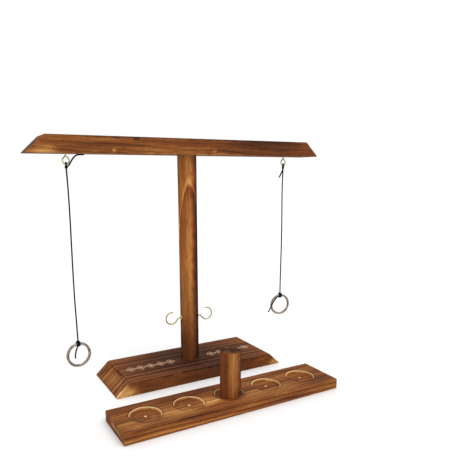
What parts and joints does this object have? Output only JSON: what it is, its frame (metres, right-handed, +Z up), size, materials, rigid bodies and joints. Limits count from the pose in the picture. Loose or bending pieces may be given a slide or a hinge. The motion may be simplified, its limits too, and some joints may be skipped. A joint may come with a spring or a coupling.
{
  "type": "tabletop ring toss set",
  "caption": "Tabletop hook-and-ring game in scorched wood: rings on cords hang from a crossbar over side hooks, with a separate ladder board and marker peg.",
  "frame": {"origin": "middle of the base's underside, straight below the post", "axes": "+Z up, +X along the crossbar, -Y towards the ladder board and the players"},
  "size_m": [0.45, 0.222, 0.352],
  "materials": {
    "base_wood": "scorched pine with a thin matt stain",
    "post_wood": "scorched and stained dowel, satin",
    "crossbar_wood": "scorched pine with a thin matt stain",
    "board_wood": "scorched pine, pale where the recesses were bored",
    "peg_wood": "scorched dowel with a charred top",
    "screw_steel": "yellow zinc plate",
    "eye_brass": "brass-plated wire",
    "ring_nickel": "bright nickel-plated steel wire",
    "cord_black": "braided black cord"
  },
  "bodies": {
    "stand": {"base": "base_wood", "post": "post_wood", "crossbar": "crossbar_wood", "base_screws": "screw_steel", "crossbar_screw": "screw_steel", "left_screw_eye": "eye_brass", "right_screw_eye": "eye_brass", "left_hook": "eye_brass", "right_hook": "eye_brass"},
    "left_tie": {"left_top_knot": "cord_black", "left_top_tail": "cord_black"},
    "left_line": {"left_cord": "cord_black"},
    "left_drop": {"left_ring_knot": "cord_black", "left_ring_tail": "cord_black", "left_ring": "ring_nickel"},
    "right_tie": {"right_top_knot": "cord_black", "right_top_tail": "cord_black"},
    "right_line": {"right_cord": "cord_black"},
    "right_drop": {"right_ring_knot": "cord_black", "right_ring_tail": "cord_black", "right_ring": "ring_nickel"},
    "ladder": {"ladder_board": "board_wood"},
    "marker": {"marker_peg": "peg_wood"}
  },
  "joints": [
    {"name": "left_sway", "type": "hinge", "parent": "stand", "child": "left_tie", "pos_m": [-0.174, 0, 0.3167], "axis": [1, 0, 0], "range_deg": [-25, 25]},
    {"name": "left_swing", "type": "hinge", "parent": "left_tie", "child": "left_line", "pos_m": [-0.174, 0, 0.30925], "axis": [0, -1, 0], "range_deg": [-80, 26]},
    {"name": "left_spin", "type": "hinge", "parent": "left_line", "child": "left_drop", "pos_m": [-0.174, 0, 0.0565], "axis": [0, 0, 1], "continuous": true},
    {"name": "right_sway", "type": "hinge", "parent": "stand", "child": "right_tie", "pos_m": [0.174, 0, 0.3167], "axis": [1, 0, 0], "range_deg": [-25, 25]},
    {"name": "right_swing", "type": "hinge", "parent": "right_tie", "child": "right_line", "pos_m": [0.174, 0, 0.30925], "axis": [0, 1, 0], "range_deg": [-80, 34]},
    {"name": "right_spin", "type": "hinge", "parent": "right_line", "child": "right_drop", "pos_m": [0.174, 0, 0.0835], "axis": [0, 0, 1], "continuous": true},
    {"name": "ladder_slide", "type": "slide", "parent": "stand", "child": "ladder", "axis": [0, -1, 0], "range_m": [0, 0.12]},
    {"name": "marker_lift", "type": "slide", "parent": "ladder", "child": "marker", "axis": [0, 0, 1], "range_m": [0, 0.08]}
  ]
}
